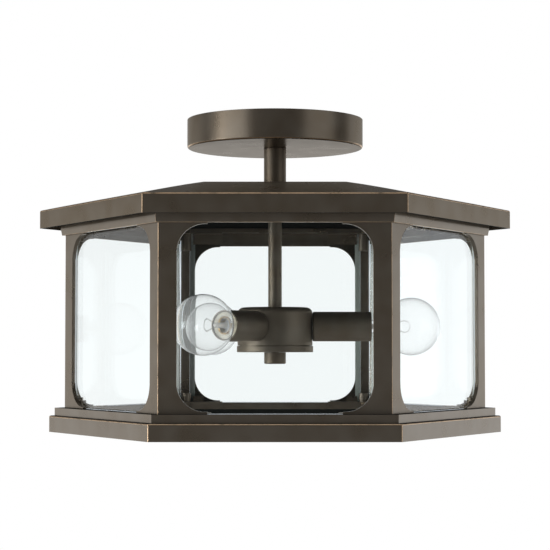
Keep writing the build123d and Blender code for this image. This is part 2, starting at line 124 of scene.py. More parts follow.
# Lamps
ROUND_STEPS = 48
GLOBE_STEPS = 72
STEM_STEPS = 32
CAP_FLOOR = 2.6 * MM                # height of the insulator
CAP_WALL = 0.3 * MM
CAP_COLLAR = 0.5 * MM               # end of the thread above the glass's foot
BUTTON_HOLE = 2.45 * MM
SEAT_INSET = 1.35 * MM
SEAT_HEIGHT = 1.3 * MM
SEAT_PLAY = 0.1 * MM
STEM_PROFILE = (                    # radius and height above the glass's foot, in millimetres
    (0, 0), (4.4, 0), (4.0, 0.6), (2.9, 5), (2.3, 8),
    (2.2, 14), (2.5, 17), (2.3, 19.2), (1.4, 20), (0, 20),
)
STEM_TIP = GLASS_FOOT + 20 * MM
WIRE_RADIUS = 0.3 * MM
WIRE_ROOT = (1.1 * MM, STEM_TIP - 7 * MM)       # where a wire starts, from the lamp's axis and along it
WIRE_KNEE = (1.3 * MM, STEM_TIP + 0.5 * MM)     # where it bends, above the stem
WIRE_HOOK = 0.8 * MM
COIL_FOOT = GLOBE_CENTRE - 6 * MM
COIL_SPREAD = 5 * MM
COIL_RADIUS = 0.32 * MM
COIL_STEPS = 8                      # for one turn
FILAMENT_RADIUS = 0.09 * MM

# Stage
WHITE = (1, 1, 1, 1)
BOUNCED = 0.5                       # lies between a count of no bounces and of one
DULL_LEVEL = 0.5                    # of the studio, in the light that dull surfaces scatter
AIM = Vector((0, 0, -0.14))
SOFTBOXES = (                       # name, place and size in metres, power in watts, tone
    ("Left softbox", (-1.75, -1.15, 0.1), 1.5, 10.5, "FFFFFF"),
    ("Left side softbox", (-1.9, -0.5, -0.2), 0.65, 7.5, "FFFFFF"),
    ("Right softbox", (1.9, -1.1, 0.1), 1.7, 6, "FFFFFF"),
    ("Top softbox", (0.0, -0.9, 1.6), 1.2, 3.5, "FFFFFF"),
    ("Rear right softbox", (1.55, 1.15, -0.15), 1.2, 1.4, "DCEBFF"),
)


def colour(name, code, description):
    """A colour that the user can change."""
    return FloatVectorProperty(
        name=name, description=description, subtype="COLOR", size=3, min=0, max=1, default=linear(code)
    )


def length(name, millimetres, description):
    """A length that the user can change."""
    return FloatProperty(
        name=name, description=description, unit="LENGTH", min=0, precision=5, default=millimetres * MM
    )


def share(name, value, description):
    """A level or weight from 0 to 1 that the user can change."""
    return FloatProperty(name=name, description=description, min=0, max=1, default=value)


class LanternMetal(bpy.types.PropertyGroup):
    """Finish of the cast and formed metal."""

    coat_dark: colour("Coat, dark", "6A6053", "Brown of the bronze coat in its darker clouds")
    coat_light: colour("Coat, light", "746C61", "Brown of the bronze coat in its lighter clouds")
    sheen: colour("Sheen", "DDD6CC", "Tone of the coat at glancing angles")
    copper: colour("Copper", "E4C5A2", "Metal where the coat is rubbed through at the edges")
    varnish: share("Varnish", 0.3, "Clear varnish on the frame")
    base_varnish: share("Base varnish", 0.55, "Clear varnish on the base")
    cloud: length("Cloud", 22, "Width of one cloud in the coat")
    # A real coat's grain is too fine to show, so this one is drawn coarser
    grain: length("Grain", 1.1, "Width of one grain of the coat")
    rim_height: length("Rim height", 15.4, "Depth of the roof's rim")
    base_step: length("Base step", 6.7, "Depth of the base's upper step")
    rubbed_width: length("Rubbed edge", 0.55, "Width of the rubbed edges")
    soft_width: length("Soft edge", 0.25, "Width of the other edges")


class LanternGlass(bpy.types.PropertyGroup):
    """Finish of the panes."""

    tint: colour("Pane", "FCFFFF", "What clear pane glass lets through")
    # Also the tone of the painted glow on the ground edges
    cut_edge_and_glow: colour("Cut edge", "EEF3F8", "Ground edge of a pane")


class LanternLamp(bpy.types.PropertyGroup):
    """Sizes of the globe lamps and their sockets."""

    shell_radius: length("Shell", 6.7, "Radius of a socket's shell")
    shell_wall: length("Shell wall", 0.5, "Thickness of a socket's shell")
    lip_width: length("Lip", 0.9, "Width of the lip round a socket's shell")
    lip_height: length("Lip height", 0.5, "Height of that lip")
    neck_radius: length("Neck", 5.6, "Radius of the glass neck")
    neck_blend: length("Neck blend", 9, "Radius of the hollow between neck and globe")
    glass_wall: length("Glass wall", 0.3, "Thickness of the blown glass")
    thread_pitch: length("Thread pitch", 2.54, "Distance from thread to thread")
    thread_depth: length("Thread depth", 0.5, "Depth of the rolled thread")
    filament_turns: IntProperty(name="Filament turns", description="Turns of the coil", min=4, default=26)


class LanternStage(bpy.types.PropertyGroup):
    """Camera and floor."""

    distance: length("Camera distance", 1505, "Camera to the middle of the lantern")
    height: FloatProperty(name="Camera height", description="Camera above the ceiling",
                          unit="LENGTH", precision=5, default=-199.7 * MM)
    tilt: FloatProperty(name="Camera tilt", description="Upward tilt",
                        subtype="ANGLE", default=radians(2.47))
    focal: FloatProperty(name="Focal length", description="Focal length in millimetres", default=113.67)
    floor_drop: length("Floor", 2400, "Depth of the floor below the ceiling")
    floor_sheen: share("Floor sheen", 0.3, "Level of the floor in the metal")
    floor: colour("Floor colour", "E9E8E6", "Pale plain floor")


# Nodes and materials

def node(tree, kind, inputs=None, **settings):
    """Add one node with its settings, and give its inputs values or links."""
    made = tree.nodes.new(kind)
    for name, value in settings.items():
        setattr(made, name, value)
    for name, value in (inputs or {}).items():
        if isinstance(value, bpy.types.NodeSocket):
            tree.links.new(value, made.inputs[name])
        else:
            made.inputs[name].default_value = value
    return made


def material(name):
    """An empty material and its node tree."""
    made = bpy.data.materials.new(name)
    made.use_nodes = True
    made.node_tree.nodes.clear()
    return made, made.node_tree


def opaque(value):
    """A colour with full alpha."""
    return (*value[:3], 1.0)


def mottled(name, width, tones, roughness, inputs=None, detail=NOISE_DETAIL, span=DRIFT,
            grain=None, strength=0.0, relief=0.0, over=None):
    """A finish whose tone and roughness, where two are given, drift over patches of a given width.

    It can have a bump, from a grain's width, strength and relief, and another shader laid over it.
    """
    made, tree = material(name)
    place = node(tree, "ShaderNodeTexCoord")
    pattern = {"Vector": place.outputs["Object"], "Roughness": NOISE_ROUGHNESS}
    patches = node(tree, "ShaderNodeTexNoise", {**pattern, "Scale": 1 / width, "Detail": detail})
    noise = patches.outputs["Fac"]
    values = {"Base Color": opaque(tones[0]), "Roughness": roughness[0], **(inputs or {})}
    if len(tones) == 2:
        drift = node(tree, "ShaderNodeMapRange", {
            "Value": noise, "From Min": span[0], "From Max": span[1],
        })
        # A mix takes colours at inputs 6 and 7, and gives one at output 2
        values["Base Color"] = node(tree, "ShaderNodeMix", {
            0: drift.outputs["Result"], 6: opaque(tones[0]), 7: opaque(tones[1]),
        }, data_type="RGBA").outputs[2]
    if len(roughness) == 2:
        values["Roughness"] = node(tree, "ShaderNodeMapRange", {
            "Value": noise, "From Min": DRIFT[0], "From Max": DRIFT[1],
            "To Min": roughness[0], "To Max": roughness[1],
        }).outputs["Result"]
    if grain:
        height = node(tree, "ShaderNodeTexNoise", {**pattern, "Scale": 1 / grain, "Detail": NOISE_DETAIL})
        values["Normal"] = node(tree, "ShaderNodeBump", {
            "Height": height.outputs["Fac"], "Strength": strength, "Distance": relief,
        }).outputs["Normal"]
    shader = node(tree, "ShaderNodeBsdfPrincipled", values).outputs["BSDF"]
    node(tree, "ShaderNodeOutputMaterial", {"Surface": over(tree, shader) if over else shader})
    return made


def rubbed_bronze(name, metal, varnish=0.0, roughness=LACQUER, over=None):
    """Dark bronze lacquer on metal: clouded where it was rubbed, finely grained, varnished or not."""
    inputs = {
        "Metallic": 0.8, "Specular Tint": opaque(metal.sheen),
        "Coat Weight": varnish, "Coat Roughness": 0.08,
    }
    return mottled(name, metal.cloud, (metal.coat_dark, metal.coat_light), roughness, inputs, detail=1.0,
                   grain=metal.grain, strength=0.015, relief=0.1 * MM, over=over)


def pale_strip(tree, coat):
    """A pale, dull strip over the coat, on the inner faces of the posts where the panes lie against them.
    """
    place = node(tree, "ShaderNodeTexCoord")
    xyz = node(tree, "ShaderNodeSeparateXYZ", {"Vector": place.outputs["Object"]})
    plan = node(tree, "ShaderNodeCombineXYZ", {"X": xyz.outputs["X"], "Y": xyz.outputs["Y"]})
    reach = node(tree, "ShaderNodeVectorMath", {0: plan.outputs["Vector"]}, operation="LENGTH")
    values = {"x": xyz.outputs["X"], "y": xyz.outputs["Y"], "reach": reach.outputs["Value"]}
    # The six sides are folded onto one, and the pale strip runs along it at the panes' outer faces
    steps = (
        ("turn", "ARCTAN2", ("y", "x")),
        ("folded", "WRAP", ("turn", SIDE_TURN, 0.0)),
        ("lean", "SUBTRACT", ("folded", SIDE_TURN / 2)),
        ("sine", "SINE", ("lean",)),
        ("cosine", "COSINE", ("lean",)),
        ("across", "MULTIPLY", ("reach", "sine")),
        ("along", "ABSOLUTE", ("across",)),
        ("depth", "MULTIPLY", ("reach", "cosine")),
        ("after", "GREATER_THAN", ("along", BACK_PANE.x - STRIP_WIDTH)),
        ("before", "LESS_THAN", ("along", BACK_PANE.x)),
        ("beside", "MULTIPLY", ("after", "before")),
        ("inside", "COMPARE", ("depth", BACK_PANE.y, STRIP_DEPTH)),
        ("in_strip", "MULTIPLY", ("beside", "inside")),
    )
    for name, operation, terms in steps:
        inputs = {i: values.get(term, term) for i, term in enumerate(terms)}
        values[name] = node(tree, "ShaderNodeMath", inputs, operation=operation).outputs[0]
    strip = node(tree, "ShaderNodeBsdfPrincipled", {
        "Base Color": opaque(linear("EDEDE6")), "Roughness": 0.6,
    })
    mixed = node(tree, "ShaderNodeMixShader", {0: values["in_strip"], 1: coat, 2: strip.outputs["BSDF"]})
    return mixed.outputs["Shader"]


def painted_shade_black():
    """Painted shade under the roof, and in and on the base: nearly black, flat, a little rough."""
    width = 1.6 * MM
    return mottled("painted_shade_flat_black", width, (linear("0E1210"), linear("181D1A")), (0.85,),
                   {"Specular IOR Level": 0.2}, grain=width, strength=0.2, relief=0.1 * MM)


def bared_copper(metal):
    """Copper bared where the lacquer is rubbed off an edge: bright, and patchy along the edge."""
    return mottled("bared_copper_edge", 9 * MM, (metal.coat_light, metal.copper), (0.42, 0.3),
                   {"Metallic": 1.0}, detail=3.0, span=(0.18, 0.5))


def clear_glass(name, tint, index, polish=0.0, painted_reflection=0.0):
    """Soda lime glass: clear, bright at glancing angles, and light falls through it.

    Polish adds the reflections of a clear coat, and the last weight lays a faint white diffuse film over
    the glass, a painted reflection of the white studio around it.
    """
    made, tree = material(name)
    glass = node(tree, "ShaderNodeBsdfPrincipled", {
        "Base Color": opaque(tint), "Roughness": 0.0, "IOR": index, "Transmission Weight": 1.0,
        "Coat Weight": polish, "Coat Roughness": 0.0, "Coat IOR": REAL_INDEX,
    })
    # White diffuse film: a painted reflection of the white studio
    reflection_stand_in = node(tree, "ShaderNodeBsdfDiffuse", {"Color": opaque(tint)})
    reflected = node(tree, "ShaderNodeMixShader", {
        0: painted_reflection, 1: glass.outputs["BSDF"], 2: reflection_stand_in.outputs["BSDF"],
    })
    path = node(tree, "ShaderNodeLightPath")
    clear = node(tree, "ShaderNodeBsdfTransparent", {"Color": opaque(tint)})
    mixed = node(tree, "ShaderNodeMixShader", {
        0: path.outputs["Is Shadow Ray"], 1: reflected.outputs["Shader"], 2: clear.outputs["BSDF"],
    })
    node(tree, "ShaderNodeOutputMaterial", {"Surface": mixed.outputs["Shader"]})
    return made


def pressed_glass():
    """Pressed glass of a lamp's stem: milky from the seal, and half clear."""
    return mottled("pressed_stem_glass", 3 * MM, (linear("EFE6DE"), linear("FFFBF6")), (0.2,),
                   {"IOR": STEM_INDEX, "Transmission Weight": 0.4})


def ground_edge_with_painted_glow(tint):
    """Cut and ground edge of sheet glass: frosted, pale, a little blue, with a painted glow standing in for
    light carried in the sheet.

    Its grit is drawn coarser than the real one, so that it shows.
    """
    return mottled("ground_glass_edge_painted_glow", 1.5 * MM, (tint,), (0.35, 0.55), {
        "IOR": REAL_INDEX, "Emission Color": opaque(tint), "Emission Strength": EDGE_PAINTED_GLOW,
    })


def bare_metal(name, dark, light, width, roughness, metallic=1.0):
    """Bare, plated or coated metal: bright, with a tone that shifts a little over a given width."""
    return mottled(name, width, (linear(dark), linear(light)), (roughness, roughness + WEAR),
                   {"Metallic": metallic}, detail=3.0)


def moulded(name, dark, light, width, roughness):
    """Moulded or pressed insulating material: dull, with a faint grain."""
    return mottled(name, width, (linear(dark), linear(light)), (roughness,),
                   grain=width, strength=0.1, relief=0.05 * MM)


def dress(piece, *finishes):
    """Put finishes in a piece's slots, one after the other."""
    for i, finish in enumerate(finishes):
        if i == len(piece.material_slots):
            piece.data.materials.append(None)
        piece.material_slots[i].link = "OBJECT"
        piece.material_slots[i].material = finish


# Edges and faces of the CAD pieces

def geometry_tree(name):
    """An empty geometry tree with one way in and one way out."""
    tree = bpy.data.node_groups.new(name, "GeometryNodeTree")
    tree.interface.new_socket("Geometry", in_out="INPUT", socket_type="NodeSocketGeometry")
    tree.interface.new_socket("Geometry", in_out="OUTPUT", socket_type="NodeSocketGeometry")
    return tree, node(tree, "NodeGroupInput").outputs[0]


def apply_tree(piece, title, tree, geometry):
    """End a geometry tree, and put it on a piece."""
    node(tree, "NodeGroupOutput", {0: geometry})
    piece.modifiers.new(title, "NODES").node_group = tree


def zone(tree, low, high, inner):
    """A mask that is 1 between two heights and farther from the axis than given."""
    place = node(tree, "GeometryNodeInputPosition")
    xyz = node(tree, "ShaderNodeSeparateXYZ", {"Vector": place.outputs["Position"]})
    plan = node(tree, "ShaderNodeCombineXYZ", {"X": xyz.outputs["X"], "Y": xyz.outputs["Y"]})
    reach = node(tree, "ShaderNodeVectorMath", {0: plan.outputs["Vector"]}, operation="LENGTH")
    mask = 1.0
    for value, limit, test in (
        (xyz.outputs["Z"], low, "GREATER_THAN"),
        (xyz.outputs["Z"], high, "LESS_THAN"),
        (reach.outputs["Value"], inner, "GREATER_THAN"),
    ):
        passed = node(tree, "ShaderNodeMath", {0: value, 1: limit}, operation=test)
        both = node(tree, "ShaderNodeMath", {0: mask, 1: passed.outputs[0]}, operation="MULTIPLY")
        mask = both.outputs[0]
    return mask


def underside(tree):
    """A mask that is 1 on faces that look down."""
    facing = node(tree, "GeometryNodeInputNormal")
    xyz = node(tree, "ShaderNodeSeparateXYZ", {"Vector": facing.outputs["Normal"]})
    down = node(tree, "ShaderNodeMath", {0: xyz.outputs["Z"], 1: DOWNWARD}, operation="LESS_THAN")
    return down.outputs[0]


def hollow(tree, inner):
    """A mask that is 1 on faces that look back to the origin, from planes farther from it than given.

    On the base these are the inner sides, and the upper faces too, because it lies so low.
    """
    place = node(tree, "GeometryNodeInputPosition")
    facing = node(tree, "GeometryNodeInputNormal")
    toward = node(tree, "ShaderNodeVectorMath", {
        0: place.outputs["Position"], 1: facing.outputs["Normal"],
    }, operation="DOT_PRODUCT")
    deep = node(tree, "ShaderNodeMath", {0: toward.outputs["Value"], 1: -inner}, operation="LESS_THAN")
    return deep.outputs[0]


def ground(tree, normal):
    """A mask that is 1 on the edges of a pane with the given normal, except its upper one."""
    facing = node(tree, "GeometryNodeInputNormal").outputs["Normal"]
    lean = node(tree, "ShaderNodeVectorMath", {0: facing, 1: normal}, operation="DOT_PRODUCT")
    size = node(tree, "ShaderNodeMath", {0: lean.outputs["Value"]}, operation="ABSOLUTE")
    edge = node(tree, "ShaderNodeMath", {0: size.outputs[0], 1: EDGE_COSINE}, operation="LESS_THAN")
    xyz = node(tree, "ShaderNodeSeparateXYZ", {"Vector": facing})
    below = node(tree, "ShaderNodeMath", {0: xyz.outputs["Z"], 1: EDGE_COSINE}, operation="LESS_THAN")
    both = node(tree, "ShaderNodeMath", {0: edge.outputs[0], 1: below.outputs[0]}, operation="MULTIPLY")
    return both.outputs[0]


def mark_faces(piece, title, index, mask, *terms):
    """Give the faces in a mask another of the piece's finishes."""
    tree, mesh = geometry_tree(f"{title} of {piece.name}")
    marked = node(tree, "GeometryNodeSetMaterialIndex", {
        "Geometry": mesh, "Selection": mask(tree, *terms), "Material Index": index,
    })
    apply_tree(piece, title, tree, marked.outputs["Geometry"])


def mark_edges(piece, band):
    """Give the sharp edges in a band a full bevel weight, or a smaller one where they stand upright."""
    tree, mesh = geometry_tree("Marked edges of " + piece.name)
    angle = node(tree, "GeometryNodeInputMeshEdgeAngle")
    sharp = node(tree, "ShaderNodeMath", {
        0: angle.outputs["Unsigned Angle"], 1: SHARP_ANGLE,
    }, operation="GREATER_THAN")
    ends = node(tree, "GeometryNodeInputMeshEdgeVertices")
    along = node(tree, "ShaderNodeVectorMath", {
        0: ends.outputs["Position 1"], 1: ends.outputs["Position 2"],
    }, operation="SUBTRACT")
    unit = node(tree, "ShaderNodeVectorMath", {0: along.outputs["Vector"]}, operation="NORMALIZE")
    xyz = node(tree, "ShaderNodeSeparateXYZ", {"Vector": unit.outputs["Vector"]})
    rise = node(tree, "ShaderNodeMath", {0: xyz.outputs["Z"]}, operation="ABSOLUTE")
    upright = node(tree, "ShaderNodeMath", {
        0: rise.outputs[0], 1: UPRIGHT_RISE,
    }, operation="GREATER_THAN")
    amount = node(tree, "ShaderNodeMix", {"Factor": upright.outputs[0], "A": 1.0, "B": UPRIGHT_SHARE})
    inside = node(tree, "ShaderNodeMath", {
        0: sharp.outputs[0], 1: zone(tree, *band),
    }, operation="MULTIPLY")
    weight = node(tree, "ShaderNodeMath", {
        0: inside.outputs[0], 1: amount.outputs["Result"],
    }, operation="MULTIPLY")
    stored = node(tree, "GeometryNodeStoreNamedAttribute", {
        "Geometry": mesh, "Name": "bevel_weight_edge", "Value": weight.outputs[0],
    }, data_type="FLOAT", domain="EDGE")
    apply_tree(piece, "Marked edges", tree, stored.outputs["Geometry"])


def bevel_marked(piece, title, width, segments):
    """Bevel the marked edges, and lay the second finish along them."""
    bevel = piece.modifiers.new(title, "BEVEL")
    bevel.limit_method = "WEIGHT"
    bevel.width = width
    bevel.segments = segments
    bevel.material = 1


def ease(piece, metal, band=None, width=1.0):
    """Round a metal piece's edges, and lay its second finish along those in a band.

    The width is that of the second finish, against the usual one.
    """
    piece.modifiers.new("Weld", "WELD").merge_threshold = WELD_GAP
    flat = piece.modifiers.new("Flat faces", "DECIMATE")
    flat.decimate_type = "DISSOLVE"
    flat.angle_limit = FLAT_ANGLE
    if band:
        mark_edges(piece, band)
        bevel_marked(piece, "Rubbed edges", metal.rubbed_width * width, segments=2)
    soft = piece.modifiers.new("Soft edges", "BEVEL")
    soft.limit_method = "ANGLE"
    soft.angle_limit = SOFT_ANGLE
    soft.width = metal.soft_width
    soft.segments = 1
    piece.modifiers.new("Even shading", "WEIGHTED_NORMAL").keep_sharp = False


def outside(name):
    """Distance from the axis beyond which only the outer faces of a hexagonal ring lie."""
    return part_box(name)[1].x * FLAT_RATIO - OUTER_SKIN


# Round pieces on the socket axes

def on_socket(number):
    """Turns a piece made along +Z onto the axis of one socket."""
    turn = Matrix.Rotation(LAMP_TURN * (number - 1), 4, "Z") @ Matrix.Rotation(pi / 2, 4, "Y")
    return Matrix.Translation((0, 0, SOCKET_HEIGHT)) @ turn


def piece_from(name, mesh, place, body, finish):
    """A smooth piece from a finished mesh, riding on a body."""
    bmesh.ops.recalc_face_normals(mesh, faces=mesh.faces)
    data = bpy.data.meshes.new(name)
    mesh.to_mesh(data)
    mesh.free()
    data.transform(place)
    data.shade_smooth()
    made = bpy.data.objects.new(name, data)
    bpy.context.scene.collection.objects.link(made)
    data.materials.append(finish)
    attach(made, body)
    return made


def join_rings(mesh, pairs):
    """Faces between pairs of rings with as many points each."""
    for low, high in pairs:
        for i in range(len(low)):
            j = (i + 1) % len(low)
            mesh.faces.new((low[i], low[j], high[j], high[i]))


def lathe(mesh, profile, steps, closed=True):
    """Turn a profile of (radius, height) about +Z. Points on the axis close the form."""
    rings = []
    for radius, height in profile:
        turns = [2 * pi * i / steps for i in range(steps if radius > 0 else 1)]
        rings.append([mesh.verts.new((radius * cos(turn), radius * sin(turn), height)) for turn in turns])
    for low, high in zip(rings, rings[1:] + rings[:1] if closed else rings[1:]):
        for i in range(steps):
            j = (i + 1) % steps
            corners = [low[i % len(low)], low[j % len(low)], high[j % len(high)], high[i % len(high)]]
            corners = list(dict.fromkeys(corners))
            if len(corners) > 2:
                mesh.faces.new(corners)


def sleeve(mesh, outer, inner, ends, pitch=1.0, depth=0.0, thread=(0.0, 0.0)):
    """Thin sleeve along +Z between two heights, with a thread between two others if it has depth."""
    rows = 72
    heights = [ends[0] + (ends[1] - ends[0]) * k / rows for k in range(rows + 1)]
    rings = []
    for base, height in [(outer, h) for h in heights] + [(inner, h) for h in reversed(heights)]:
        fade = max(0.0, min(1.0, (height - thread[0]) / pitch, (thread[1] - height) / pitch))
        ring = []
        for i in range(ROUND_STEPS):
            turn = 2 * pi * i / ROUND_STEPS
            wave = 0.5 - 0.5 * cos(2 * pi * height / pitch - turn)
            radius = base - depth * fade * wave
            ring.append(mesh.verts.new((radius * cos(turn), radius * sin(turn), height)))
        rings.append(ring)
    join_rings(mesh, zip(rings, rings[1:] + rings[:1]))


def rod(mesh, points, radius, steps=8):
    """Round wire along points, with closed ends."""
    rings = []
    side = None
    for k, point in enumerate(points):
        ahead = points[min(k + 1, len(points) - 1)] - points[max(k - 1, 0)]
        ahead.normalize()
        if side is None:
            side = ahead.orthogonal().normalized()
        side = (side - ahead * side.dot(ahead)).normalized()
        other = ahead.cross(side)
        turns = [2 * pi * i / steps for i in range(steps)]
        rings.append([mesh.verts.new(point + (side * cos(t) + other * sin(t)) * radius) for t in turns])
    join_rings(mesh, zip(rings, rings[1:]))
    mesh.faces.new(rings[0])
    mesh.faces.new(rings[-1])


def arc(centre, radius, start, end, steps):
    """Points (radius, height) on an arc about a centre, between two angles."""
    turns = [start + (end - start) * k / steps for k in range(steps + 1)]
    return [(centre[0] + radius * cos(turn), centre[1] + radius * sin(turn)) for turn in turns]


def blown_profile(globe, neck, blend):
    """Half outline of the blown glass from the foot of its neck to its tip."""
    lean = asin((neck + blend) / (globe + blend))
    throat = (neck + blend, GLOBE_CENTRE - (globe + blend) * cos(lean))
    points = [(neck, GLASS_FOOT)]
    points += arc(throat, blend, pi, pi / 2 + lean, steps=14)
    points += arc((0, GLOBE_CENTRE), globe, lean - pi / 2, pi / 2, steps=56)[1:-1]
    return points + [(0, GLOBE_CENTRE + globe)]


class LANTERN_OT_metal(bpy.types.Operator):
    """Bronze lacquer on the canopy, stems, roof, frame and lamp cluster, rubbed to copper at the edges,
    with near-black painted shade under the roof and in the base
    """

    bl_idname = "lantern.metal"
    bl_label = "Metal Frame"

    def execute(self, context):
        metal = context.scene.lantern_metal
        lacquer = rubbed_bronze("rubbed_bronze_lacquer", metal)
        polished = rubbed_bronze("polished_bronze_lacquer", metal, metal.base_varnish)
        varnished = rubbed_bronze("varnished_bronze_lacquer", metal, metal.varnish, over=pale_strip)
        satin = rubbed_bronze("satin_bronze_lacquer", metal, roughness=SATIN)
        copper = bared_copper(metal)
        # Near-black painted shade for the roof's undersides and the base's inner sides and tops
        painted_shade = painted_shade_black()
        rim = (RIM_LOW + MARGIN, RIM_LOW + metal.rim_height + MARGIN, outside("roof"))
        frieze = (FRIEZE_LOW - MARGIN, RIM_LOW - MARGIN, outside("top_ring"))
        step = (BASE_LOW + MARGIN, BASE_TOP - metal.base_step + MARGIN, outside("base_ring"))
        corner = (BASE_TOP, RIM_LOW, POST_RADIUS - MARGIN)
        # Finishes, the band of the rubbed edges, and their width against the usual one
        frame_pieces = {
            "roof": ((lacquer, copper, painted_shade), rim, 1.8),
            "top_ring": ((varnished, copper), frieze, 0.45),
            "base_ring": ((polished, copper, painted_shade), step, 2.2),
        }
        for post in named("corner_post"):
            frame_pieces[post.name] = ((varnished, copper), corner, 1.2)
        for name, (finishes, band, width) in frame_pieces.items():
            dress(NODES[name], *finishes)
            ease(NODES[name], metal, band, width)
        # The roof's undersides and the base's inner sides and tops take the near-black painted shade in
        # slot 2
        mark_faces(NODES["roof"], "Undersides", 2, underside)
        mark_faces(NODES["base_ring"], "Inner sides and tops", 2, hollow, POST_RADIUS * FLAT_RATIO - MARGIN)
        for piece in named("upper_stem", "lower_stem", "cluster_cup", "cluster_cover", "finial",
                           "socket_cover"):
            dress(piece, satin)
            ease(piece, metal)
        for piece in named("top_pane_clips", "bottom_pane_clips", "top_post_screws", "bottom_post_screws",
                           "roof_screws"):
            dress(piece, lacquer)
        canopy = NODES["canopy"]
        dress(canopy, lacquer, copper)
        ease(canopy, metal)
        line = [CANOPY_LOW + height for height in CANOPY_RUB]
        mark_faces(canopy, "Rubbed line", 1, zone, *line, CANOPY_RADIUS - CANOPY_RUB_DEPTH)
        return {"FINISHED"}


class LANTERN_OT_panes(bpy.types.Operator):
    """Clear panes with edges ground at the sides and below, which carry a painted glow"""

    bl_idname = "lantern.panes"
    bl_label = "Glass Panes"

    def execute(self, context):
        glass = context.scene.lantern_glass
        clear = clear_glass("clear_sheet_glass", glass.tint, PANE_INDEX)
        edge = ground_edge_with_painted_glow(glass.cut_edge_and_glow)
        for pane in named("glass_pane"):
            low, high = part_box(pane.name)
            middle = (low + high) / 2
            dress(pane, clear, edge)
            pane.modifiers.new("Weld", "WELD").merge_threshold = WELD_GAP
            # The ground edges, and the seamed foot below them, take the ground edge finish with its painted
            # glow
            mark_faces(pane, "Ground edges", 1, ground, Vector((middle.x, middle.y, 0)).normalized())
            self.flatten(pane)
            mark_edges(pane, (low.z - SEAM, low.z + SEAM, 0.0))
            bevel_marked(pane, "Seamed foot", SEAM, segments=1)
        return {"FINISHED"}

    def flatten(self, pane):
        """Shade a welded pane's faces flat."""
        tree, mesh = geometry_tree("Flat faces of " + pane.name)
        flat = node(tree, "GeometryNodeSetMeshNormal", {
            "Mesh": mesh, "Remove Custom": True, "Face Sharpness": True,
        }, mode="SHARPNESS")
        apply_tree(pane, "Flat faces", tree, flat.outputs["Mesh"])


class LANTERN_OT_sockets(bpy.types.Operator):
    """Socket bodies, shells with a lip, and contacts"""

    bl_idname = "lantern.sockets"
    bl_label = "Lamp Sockets"

    def execute(self, context):
        lamp = context.scene.lantern_lamp
        # Pressed insulating body: cream and dull
        cream = moulded("cream_pressed_liner", "DDD3BC", "EBE3D0", width=2.5 * MM, roughness=0.5)
        # Brass drawn to shells and contacts: yellow and bright
        brass = bare_metal("drawn_brass", "B98E4A", "D8B26A", width=5 * MM, roughness=0.24)
        for piece in named("socket_liner"):
            dress(piece, cream)
        for piece in named("centre_contact"):
            dress(piece, brass)
        outer = lamp.shell_radius
        rim = outer + lamp.lip_width
        lip = SHELL_HIGH - lamp.lip_height
        for i in LAMPS:
            mesh = bmesh.new()
            sleeve(mesh, outer, outer - lamp.shell_wall, (SHELL_LOW, SHELL_HIGH))
            lathe(mesh, [(outer, lip), (rim, lip), (rim, SHELL_HIGH), (outer, SHELL_HIGH)], ROUND_STEPS)
            shell = piece_from(f"threaded_shell_{i}", mesh, on_socket(i), "fixture", brass)
            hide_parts(f"screw_shell_{i}")
        return {"FINISHED"}


